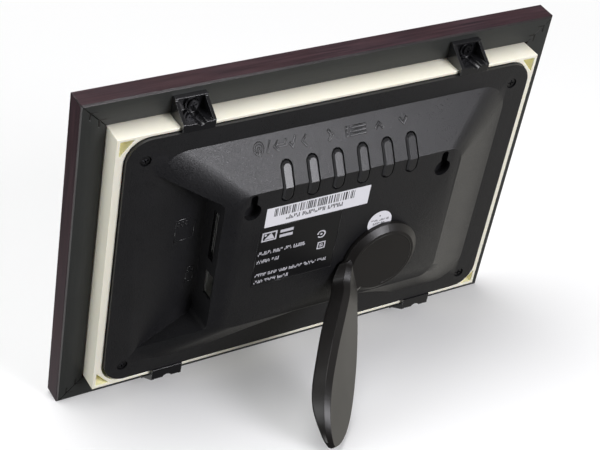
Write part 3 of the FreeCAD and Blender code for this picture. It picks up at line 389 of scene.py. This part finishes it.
def clear_glass():
    """Clear float glass; light for the scene behind it passes straight through."""
    paint = Paint("clear_glass", (0.995, 1.0, 0.997), 0.02)
    paint.set("Transmission Weight", 1.0)
    paint.set("IOR", 1.5)
    smears = paint.window(paint.noise(feature=25, detail=4, harsh=0.6), 0.5, 0.8)
    paint.feed("Roughness", paint.between(smears, 0.0, 0.03))
    through = paint.add("ShaderNodeBsdfTransparent", [("Color", (0.97, 0.98, 0.975, 1))])
    paint.give_way(paint.add("ShaderNodeLightPath").outputs["Is Shadow Ray"], through)
    return paint


def lcd_glass():
    """A switched off panel: near black, with the fine rows of its cells."""
    paint = Paint("lcd_glass", (0.012, 0.013, 0.016), 0.16)
    cells = paint.noise(0.3, 1, 0.5, (1, 1, 0.05))
    paint.feed("Base Color", paint.mix(cells, (0.010, 0.011, 0.014), (0.016, 0.018, 0.022)))
    paint.feed("Roughness", paint.between(paint.noise(feature=20, detail=2), 0.12, 0.2))
    paint.set("Coat Weight", 0.5)
    paint.set("Coat Roughness", 0.05)
    return paint


black = moulded("black_plastic", PLAIN_BLACK, 0.39, grain=0.45, depth=0.1, specular=0.45,
                sparkle=0.32)
gloss_black = moulded("clamp_plastic", (0.007, 0.007, 0.008), 0.18, grain=1.5, depth=0.006,
                      specular=0.65, edge=0.5)
mark_black = smooth_black("mark_plastic")
leg_black = moulded("stand_plastic", (0.0105, 0.0095, 0.0088), 0.33, grain=0.35, depth=0.012,
                    specular=0.34, edge=0.4)
screw_steel = brushed("screw_steel", (0.09, 0.09, 0.095), 0.3)
nail_steel = brushed("nail_steel", (0.05, 0.048, 0.045), 0.5)
sheet_steel = brushed("sheet_steel", (0.62, 0.62, 0.6), 0.28, (0.05, 1, 1))
can_metal = brushed("can_metal", (0.7, 0.68, 0.62), 0.3)
white_plastic = moulded("white_plastic", (0.78, 0.78, 0.76), 0.4, grain=0.8, depth=0.01)
connector = moulded("connector_plastic", (0.02, 0.02, 0.022), 0.45, grain=0.6, depth=0.01)
chip_black = moulded("chip_plastic", (0.02, 0.02, 0.02), 0.5, grain=0.3, depth=0.012)
foil = brushed("foil", (0.75, 0.75, 0.76), 0.22, feature=3.0, depth=0.05)
amber = moulded("amber_film", (0.35, 0.13, 0.02), 0.3, grain=2.0, depth=0.01)
label_white = paper("label_paper", (0.77, 0.77, 0.8), 0.45)
label_black = paper("label_black", (0.0055, 0.0055, 0.006), 0.32)
ink_black = ink("ink_black", (0.012, 0.012, 0.014))
ink_white = ink("ink_white", (0.62, 0.62, 0.66))

assign(painted_wood("wood_across", (ALONG_GRAIN, 1, 1)), "frame_rail_top", "frame_rail_bottom")
assign(painted_wood("wood_upright", (1, 1, ALONG_GRAIN)), "frame_rail_left", "frame_rail_right")
assign(black, "back_cover")
assign(gloss_black, *CLAMPS)
assign(key_plastic(), *KEYS)
assign(leg_black, "stand_leg")
assign(cream_plastic(), "mat_tray", "lcd_clips")
assign(nail_steel, "corner_v_nails")
assign(screw_steel, "cover_screws", "clamp_screws", "board_screws", "stand_screw")
assign(sheet_steel, "lcd_metal_bezel", "lcd_rear_sheet", "card_socket", "usb_port",
       "stand_washer", "stand_wave_washer", "power_jack_pin")
assign(can_metal, "crystal", "capacitors")
assign(white_plastic, "lcd_backlight", "usb_tongue", "lcd_connector")
assign(connector, "tact_switches", "power_jack")
assign(chip_black, "processor_chip", "memory_chip", "flash_chip", "power_inductor")
assign(foil, "insulating_sheet")
assign(amber, "lcd_flex_cable")
assign(circuit_board(), "main_board")
assign(label_white, "barcode_label", "check_sticker")
assign(label_black, "rating_label")
assign(clear_glass(), "front_glass")
assign(lcd_glass(), "lcd_glass_panel")

# ---------------------------------------------------------------- rounded edges

WELD_DISTANCE = 2e-6
FLAT_ANGLE = 0.3
SHARP_ANGLE = 22


def crease_group():
    """A node group that drops imported normals, smooths all faces and keeps sharp edges sharp."""
    group = bpy.data.node_groups.new("crease", "GeometryNodeTree")
    for way in ("INPUT", "OUTPUT"):
        group.interface.new_socket("Geometry", in_out=way, socket_type="NodeSocketGeometry")
    tree = Nodes(group)
    angle = tree.add("GeometryNodeInputMeshEdgeAngle").outputs["Unsigned Angle"]
    sharp = tree.add("FunctionNodeCompare", [(0, angle), (1, math.radians(SHARP_ANGLE))])
    chain = [
        tree.add("NodeGroupInput"),
        tree.add("GeometryNodeRemoveAttribute", [("Name", "custom_normal")]),
        tree.add("GeometryNodeSetShadeSmooth", domain="FACE"),
        tree.add("GeometryNodeSetShadeSmooth", domain="EDGE"),
        tree.add("NodeGroupOutput")]
    chain[3].inputs["Shade Smooth"].default_value = False
    tree.link(sharp.outputs[0], chain[3].inputs["Selection"])
    for before, after in zip(chain, chain[1:]):
        tree.link(before.outputs[0], after.inputs[0])
    return group


CREASE = crease_group()


def soften(name, width, segments=2, angle=28):
    """Round a CAD piece's sharp edges in its modifiers; its mesh stays as it is."""
    node = frame["nodes"][name]
    weld = node.modifiers.new("weld", "WELD")
    weld.merge_threshold = WELD_DISTANCE
    dissolve = node.modifiers.new("dissolve", "DECIMATE")
    dissolve.decimate_type = "DISSOLVE"
    dissolve.angle_limit = math.radians(FLAT_ANGLE)
    crease = node.modifiers.new("crease", "NODES")
    crease.node_group = CREASE
    bevel = node.modifiers.new("bevel", "BEVEL")
    bevel.width = width * MM
    bevel.segments = segments
    bevel.limit_method = "ANGLE"
    bevel.angle_limit = math.radians(angle)
    bevel.use_clamp_overlap = True
    bevel.harden_normals = True


for rail in RAILS:
    soften(rail, 0.3)
for clamp in CLAMPS:
    soften(clamp, 0.55, segments=3)
soften("back_cover", 0.5, segments=3, angle=22)
soften("mat_tray", 0.35)

# ---------------------------------------------------------------- mesh tools

PRINT_THICKNESS = 0.02


def mesh_piece(name, verts, faces, paint, body="frame", smooth=False):
    """A new piece from points in the upright frame, riding on a body."""
    mesh = bpy.data.meshes.new(name)
    mesh.from_pydata([place(*vert) for vert in verts], [], faces)
    mesh.update()
    mesh.materials.append(paint.material)
    if smooth:
        mesh.polygons.foreach_set("use_smooth", [True] * len(mesh.polygons))
    piece = bpy.data.objects.new(name, mesh)
    bpy.context.scene.collection.objects.link(piece)
    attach(piece, body)


def slab(verts, faces, outline, low, high):
    """Add a thin solid with an outline of (across, up) corners to the lists of a mesh."""
    area = sum(a[0] * b[1] - b[0] * a[1] for a, b in zip(outline, outline[1:] + outline[:1]))
    corners = outline if area < 0 else outline[::-1]
    first, count = len(verts), len(corners)
    verts += [(across, low, up) for across, up in corners]
    verts += [(across, high, up) for across, up in corners]
    faces.append([first + index for index in range(count)])
    faces.append([first + count + index for index in reversed(range(count))])
    for index in range(count):
        after = (index + 1) % count
        faces.append([first + after, first + index, first + count + index, first + count + after])


def box_outline(left, right, bottom, top):
    """The corners of a rectangle."""
    return [(left, bottom), (right, bottom), (right, top), (left, top)]


def ring_outline(across, up, radius, count):
    """The corners of a round shape."""
    return [(across + radius * math.cos(turn), up + radius * math.sin(turn))
            for turn in (math.tau * step / count for step in range(count))]


def arc(across, up, radius, start, end):
    """Points round part of a circle, angles in degrees from +X towards UP."""
    steps = 14
    turns = [math.radians(start + (end - start) * step / steps) for step in range(steps + 1)]
    return [(across + radius * math.cos(turn), up + radius * math.sin(turn)) for turn in turns]


def stroke(points, width):
    """The closed outline of a line of a given width through points, with mitred turns."""
    left, right = [], []
    for index, spot in enumerate(points):
        before = points[max(index - 1, 0)]
        after = points[min(index + 1, len(points) - 1)]
        turn_in = Vector((spot[0] - before[0], spot[1] - before[1]))
        turn_out = Vector((after[0] - spot[0], after[1] - spot[1]))
        if turn_in.length == 0:
            turn_in = turn_out
        if turn_out.length == 0:
            turn_out = turn_in
        turn_in.normalize()
        turn_out.normalize()
        along = (turn_in + turn_out).normalized()
        aside = Vector((-along.y, along.x)) * width / 2 / max(0.4, along.dot(turn_in))
        left.append((spot[0] + aside.x, spot[1] + aside.y))
        right.append((spot[0] - aside.x, spot[1] - aside.y))
    return left + right[::-1]


def framed_box(left, right, bottom, top, line):
    """A rectangle drawn with a line of a given width."""
    return [box_outline(left, right, bottom, bottom + line),
            box_outline(left, right, top - line, top),
            box_outline(left, left + line, bottom + line, top - line),
            box_outline(right - line, right, bottom + line, top - line)]


# ---------------------------------------------------------------- label prints


def printed(name, outlines, sheet, paint):
    """Ink shapes on the outer face of a label."""
    verts, faces = [], []
    face = box_mm(sheet)[1].y
    for outline in outlines:
        slab(verts, faces, outline, face - PRINT_THICKNESS / 2, face + PRINT_THICKNESS / 2)
    mesh_piece(name, verts, faces, paint)


def code_bars(left, right, bottom, top):
    """A made up bar code: bars of one to three units with gaps of one to three."""
    dice = random.Random(7)
    unit = 0.3
    outlines = []
    across = left
    while across - 3 * unit > right:
        wide = unit * dice.choice((1, 1, 1, 2, 2, 3))
        outlines.append(box_outline(across - wide, across, bottom, top))
        across -= wide + unit * dice.choice((1, 1, 2, 2, 3))
    return outlines


def greeked(left, right, up, tall, seed, pitch=0.62):
    """A line of stand-in text: upright ticks of mixed heights in word groups, no letters."""
    dice = random.Random(seed)
    outlines = []
    across = left
    word = dice.randint(8, 14)
    while across - pitch > right:
        if word == 0:
            word = dice.randint(6, 16)
            across -= pitch * 1.5
            continue
        low, high = dice.choice(((0, 1), (0, 1), (0, 0.7), (0.3, 1), (0, 0.45), (0.55, 1)))
        outlines.append(box_outline(across - pitch * 0.62, across,
                                    up + tall * low, up + tall * high))
        word -= 1
        across -= pitch
    return outlines


def print_barcode():
    """Bars with a row of ticks under them."""
    low, high = box_mm("barcode_label")
    bars = code_bars(high.x - 4.0, low.x + 7.5, low.z + 5.4, high.z - 0.7)
    digits = greeked(high.x - 10.6, low.x + 13.0, low.z + 2.2, tall=2.3, seed=3, pitch=0.8)
    printed("barcode_print", bars + digits, "barcode_label", ink_black)


# Lines of stand-in text on the rating label, in millimetres from its left edge as it is read,
# from its right edge and above its foot, with the height of the ticks, the seed and the pitch.
RATING_LINES = (
    (0.6, 16.4, 17.3, 2.1, 11, 0.62),
    (0.6, 29.0, 12.6, 2.0, 12, 0.62),
    (0.9, 2.2, 4.6, 1.9, 13, 0.58),
    (0.9, 21.8, 0.7, 1.9, 14, 0.58))


def print_rating():
    """A plain picture sign with two bars, four lines of ticks and two plain seals."""
    low, high = box_mm("rating_label")
    left, right, foot = high.x, low.x, low.z
    picture = framed_box(left - 8.6, left - 1.0, foot + 25.2, foot + 30.4, 0.75)
    picture.append([(left - 7.6, foot + 26.2), (left - 2.2, foot + 26.2),
                    (left - 4.0, foot + 28.0), (left - 5.6, foot + 29.6)])
    picture.append(ring_outline(left - 2.8, foot + 28.7, 0.65, 16))
    for up in (foot + 25.6, foot + 28.3):
        picture.append(box_outline(left - 17.0, left - 10.2, up, up + 1.6))
    lines = []
    for start, end, up, tall, seed, pitch in RATING_LINES:
        lines += greeked(left - start, right + end, foot + up, tall, seed, pitch)
    seals = framed_box(right + 5.4, right + 9.6, foot + 12.5, foot + 16.7, 0.6)
    seals += framed_box(right + 6.7, right + 8.3, foot + 13.8, foot + 15.4, 0.45)
    ring_across, ring_up = right + 8.6, foot + 21.4
    open_ring = ring_outline(ring_across, ring_up, 1.9, 20)[:19]
    seals.append(stroke(open_ring, 0.7))
    seals.append(ring_outline(ring_across, ring_up, 0.6, 12))
    printed("rating_print", picture + lines + seals, "rating_label", ink_white)


def print_sticker():
    """Two short lines of ticks and a dot."""
    centre = middle_mm("check_sticker")
    note = greeked(centre.x + 4.9, centre.x - 4.8, centre.z + 0.9, tall=1.1, seed=21, pitch=0.42)
    note += greeked(centre.x + 3.6, centre.x - 3.2, centre.z - 1.0, tall=1.1, seed=22, pitch=0.42)
    note.append(ring_outline(centre.x + 0.5, centre.z + 3.9, 0.4, 10))
    printed("sticker_print", note, "check_sticker", ink_black)


print_barcode()
print_rating()
print_sticker()

# ---------------------------------------------------------------- raised marks on the housing

MARK_RADIUS = 0.28
STEP_RADIUS = 0.16
STEP_GAP = 0.35
MARK_LINE, THIN_LINE = 0.9, 0.7
BEAD_SIDES = 6


def cover_surface():
    """The cover's faces in the upright frame in millimetres, to lay marks on."""
    mesh = frame["nodes"]["back_cover"].data
    to_upright = UPRIGHT.inverted()
    return BVHTree.FromPolygons([to_upright @ vertex.co for vertex in mesh.vertices],
                                [list(polygon.vertices) for polygon in mesh.polygons])


COVER = cover_surface()


def touch(across, up):
    """Where a line straight in from behind meets the cover, and the surface's normal there."""
    return COVER.ray_cast(Vector((across, 60, up)), Vector((0, -1, 0)))[:2]


def bead(verts, faces, points, radius):
    """Add a closed raised line that follows the cover through (across, up) points."""
    spots = [touch(*point) for point in points]
    count, first = len(spots), len(verts)
    for index, (spot, normal) in enumerate(spots):
        turn_in = (spot - spots[index - 1][0]).normalized()
        turn_out = (spots[(index + 1) % count][0] - spot).normalized()
        along = (turn_in + turn_out).normalized()
        aside = along.cross(normal).normalized() / max(0.45, along.dot(turn_in))
        for step in range(BEAD_SIDES):
            turn = math.tau * step / BEAD_SIDES
            verts.append(spot + radius * (aside * math.cos(turn) + normal * math.sin(turn)))
    for ring in range(count):
        here, there = first + ring * BEAD_SIDES, first + (ring + 1) % count * BEAD_SIDES
        for step in range(BEAD_SIDES):
            after = (step + 1) % BEAD_SIDES
            faces.append([here + step, here + after, there + after, there + step])


def mark(name, outlines, radius=MARK_RADIUS):
    """Outlines in (across, up) points as raised lines on the cover."""
    verts, faces = [], []
    for outline in outlines:
        bead(verts, faces, outline, radius)
    mesh_piece(name, verts, faces, mark_black, smooth=True)


def label_edges():
    """The low moulded step round the rating label."""
    low, high = box_mm("rating_label")
    mark("label_step", [box_outline(low.x - STEP_GAP, high.x + STEP_GAP,
                                    low.z - STEP_GAP, high.z + STEP_GAP)], STEP_RADIUS)


def key_marks():
    """Outlined signs above the keys: power, accept, back, forward, list, up and down."""
    spots = [(middle_mm(key).x, box_mm(key)[1].z + 5.0) for key in KEYS]
    power, up = spots[0][0] + 12.1, spots[0][1] + 0.4
    mark("mark_power", [stroke(arc(power, up, 2.1, -55, 235), MARK_LINE),
                        stroke([(power, up - 2.7), (power, up + 0.3)], MARK_LINE)])
    sign = power - 5.0
    mark("mark_accept", [
        stroke([(sign + 1.1, up - 2.2), (sign - 0.5, up + 2.2)], 0.6),
        stroke([(sign - 8.2, up + 1.6), (sign - 8.2, up - 0.4), (sign - 3.2, up - 0.4)], MARK_LINE),
        stroke([(sign - 4.6, up + 1.4), (sign - 2.6, up - 0.4), (sign - 4.6, up - 2.2)], THIN_LINE),
        stroke([(sign - 10.2, up - 0.2), (sign - 11.4, up - 1.6), (sign - 13.4, up + 1.9)],
               MARK_LINE)])
    for name, index, side in (("mark_back", 1, 1), ("mark_forward", 2, -1)):
        across, up = spots[index][0] + 2.4, spots[index][1] - 0.2
        tips = [(across - side, up + 2.0), (across + side, up), (across - side, up - 2.0)]
        mark(name, [stroke(tips, MARK_LINE)])
    across, up = spots[3][0] + 2.2, spots[3][1] - 0.3
    rows = []
    for height in (up + 1.45 * row for row in (-1, 0, 1)):
        for start, end in ((5.2, 4.3), (3.0, -5.2)):
            rows.append(stroke([(across + start, height), (across + end, height)], 0.75))
    mark("mark_list", rows)
    for name, index, side in (("mark_up", 4, 1), ("mark_down", 5, -1)):
        across, up = spots[index][0] + 3.0, spots[index][1] - 0.5
        tips = [(across + 1.9, up - side), (across, up + side), (across - 1.9, up - side)]
        mark(name, [stroke(tips, MARK_LINE)])


def socket_marks():
    """Outlined signs on the floor beside the card slot and the plug socket."""
    low, high = box_mm("card_socket")
    across, up = high.x + 12.4, (low.z + high.z) / 2 + 1.0
    card = [(across - 5, up - 6), (across + 5, up - 6), (across + 5, up + 6),
            (across - 2, up + 6), (across - 5, up + 3)]
    teeth = [across + 3.6, across + 1.6, across - 0.4]
    mark("mark_card", [card, *(stroke([(tooth, up + 4.6), (tooth, up + 2.2)], THIN_LINE)
                               for tooth in teeth)])
    low, high = box_mm("usb_port")
    across, up = high.x + 5.0, (low.z + high.z) / 2
    mark("mark_plug", [box_outline(across - 1.9, across + 1.9, up - 4.6, up + 1.0),
                       box_outline(across - 1.3, across + 1.3, up + 1.0, up + 4.0)])


label_edges()
key_marks()
socket_marks()

# ---------------------------------------------------------------- witness ring on the disc

RING_RADIUS, RING_WIDTH, RING_HEIGHT, RING_FOOT = 15.2, 0.5, 0.05, -0.2
RING_STEPS = 96
DISC_FACE = 4.4
LEG_HEADING, LEG_GAP = -32.7, 62


def witness_ring():
    """The faint moulded ring just inside the stand disc's bevel, open where the leg leaves."""
    centre = middle_mm("stand_screw")
    face = box_mm("check_sticker")[0].y + DISC_FACE
    half = RING_WIDTH / 2
    section = ((-half, RING_FOOT), (-half, 0), (0, RING_HEIGHT), (half, 0), (half, RING_FOOT))
    count = len(section)
    gap = math.radians(LEG_GAP)
    verts, faces = [], []
    for step in range(RING_STEPS + 1):
        turn = math.radians(LEG_HEADING) + gap + (math.tau - 2 * gap) * step / RING_STEPS
        for wide, high in section:
            verts.append((centre.x + (RING_RADIUS + wide) * math.cos(turn), face + high,
                          centre.z + (RING_RADIUS + wide) * math.sin(turn)))
    for first in range(0, RING_STEPS * count, count):
        for side in range(count):
            after = (side + 1) % count
            faces.append([first + side, first + after,
                          first + count + after, first + count + side])
    faces.append([4, 3, 2, 1, 0])
    faces.append([RING_STEPS * count + side for side in range(count)])
    mesh_piece("disc_ring", verts, faces, leg_black, "stand", smooth=True)


witness_ring()

# ---------------------------------------------------------------- stage and light

FLOOR_HALF = 8
FLOOR_NEAR, FLOOR_FAR = 0.25, 0.8
WHITE = (1, 1, 1)
LIT_POINT = (0, 10, 0)


def stage_floor():
    """A pale floor that brightens to even white away from the object."""
    paint = Paint("floor_paint", (0.92, 0.92, 0.92), 0.85, specular=0.1)
    patches = paint.noise(feature=300, detail=2)
    paint.feed("Base Color", paint.mix(patches, (0.91, 0.91, 0.91), (0.93, 0.93, 0.93)))
    spot = paint.add("ShaderNodeTexCoord").outputs["Object"]
    far = paint.add("ShaderNodeVectorMath", [(0, spot)], operation="LENGTH").outputs["Value"]
    sweep = paint.add("ShaderNodeEmission", [("Color", (*WHITE, 1)), ("Strength", 1.0)])
    paint.give_way(paint.remap(far, FLOOR_NEAR, FLOOR_FAR, 0.2, 1.0), sweep)
    mesh = bpy.data.meshes.new("floor")
    corners = box_outline(-FLOOR_HALF, FLOOR_HALF, -FLOOR_HALF, FLOOR_HALF)
    mesh.from_pydata([(*corner, 0) for corner in corners], [], [(0, 1, 2, 3)])
    mesh.materials.append(paint.material)
    floor = bpy.data.objects.new("floor", mesh)
    bpy.context.scene.collection.objects.link(floor)
    floor.visible_glossy = False
    floor.visible_diffuse = False


def softbox(name, direction, distance, size, radiance, colour=WHITE):
    """A soft rectangular light that shines on the object from a direction."""
    data = bpy.data.lights.new(name, "AREA")
    data.shape = "RECTANGLE"
    data.size, data.size_y = size
    data.energy = radiance * math.pi * size[0] * size[1]
    data.color = colour
    light = bpy.data.objects.new(name, data)
    bpy.context.scene.collection.objects.link(light)
    toward = Vector(direction).normalized()
    light.location = place(*LIT_POINT) + toward * distance
    light.rotation_mode = "QUATERNION"
    light.rotation_quaternion = toward.to_track_quat("Z", "Y")
    light.visible_camera = False


# How much less green and blue than red there is in the light that comes off the table.
TABLE_TINT = (0.0, 0.03, 0.11)


def studio_world():
    """A dim room for reflections: lighter above, with a warm lit table below on one side, a
    paler patch below in front and a small bright one that glints on the clamps' rims."""
    world = bpy.data.worlds.new("studio")
    world.use_nodes = True
    tree = Nodes(world.node_tree)
    heading = tree.add("ShaderNodeTexCoord").outputs["Generated"]

    def lobe(direction, start, end, low, high):
        """A soft patch of light round a direction, from low outside it to high in its middle."""
        middle = Vector(direction).normalized()
        toward = tree.vector("DOT_PRODUCT", heading, middle, "Value")
        return tree.remap(toward, start, end, low, high)

    room = lobe((0, 0, 1), -0.15, 0.1, 0.06, 0.21)
    table = lobe((-1, -0.1, -0.36), 0.55, 0.97, 0.0, 0.74)
    front = lobe((0.25, -0.6, -0.75), 0.88, 1.0, 0.0, 0.6)
    glint = lobe((0.63, 0.31, -0.71), 0.94, 1.0, 0.0, 5.0)
    light = room
    for patch in (table, front, glint):
        light = tree.maths("ADD", light, patch)
    channels = [tree.add("ShaderNodeMath", [(0, table), (1, -loss), (2, light)],
                         operation="MULTIPLY_ADD").outputs[0] for loss in TABLE_TINT]
    warm = tree.add("ShaderNodeCombineColor", enumerate(channels)).outputs[0]
    eye = tree.add("ShaderNodeLightPath").outputs["Is Camera Ray"]
    tree.link(tree.mix(eye, warm, WHITE), tree.nodes["Background"].inputs["Color"])
    bpy.context.scene.world = world


stage_floor()
studio_world()
bpy.context.scene.view_settings.view_transform = "Standard"
softbox("back_softbox", (-0.26, 0.917, 0.28), distance=1.5, size=(0.6, 1.0), radiance=11.8,
        colour=(0.96, 0.95, 1.0))
softbox("top_softbox", (0.1, -0.15, 1), distance=1.8, size=(1.3, 1.3), radiance=4.8)
softbox("side_softbox", (0.97, -0.05, 0.25), distance=1.6, size=(1.2, 1.0), radiance=3.9,
        colour=(0.97, 0.98, 1.0))
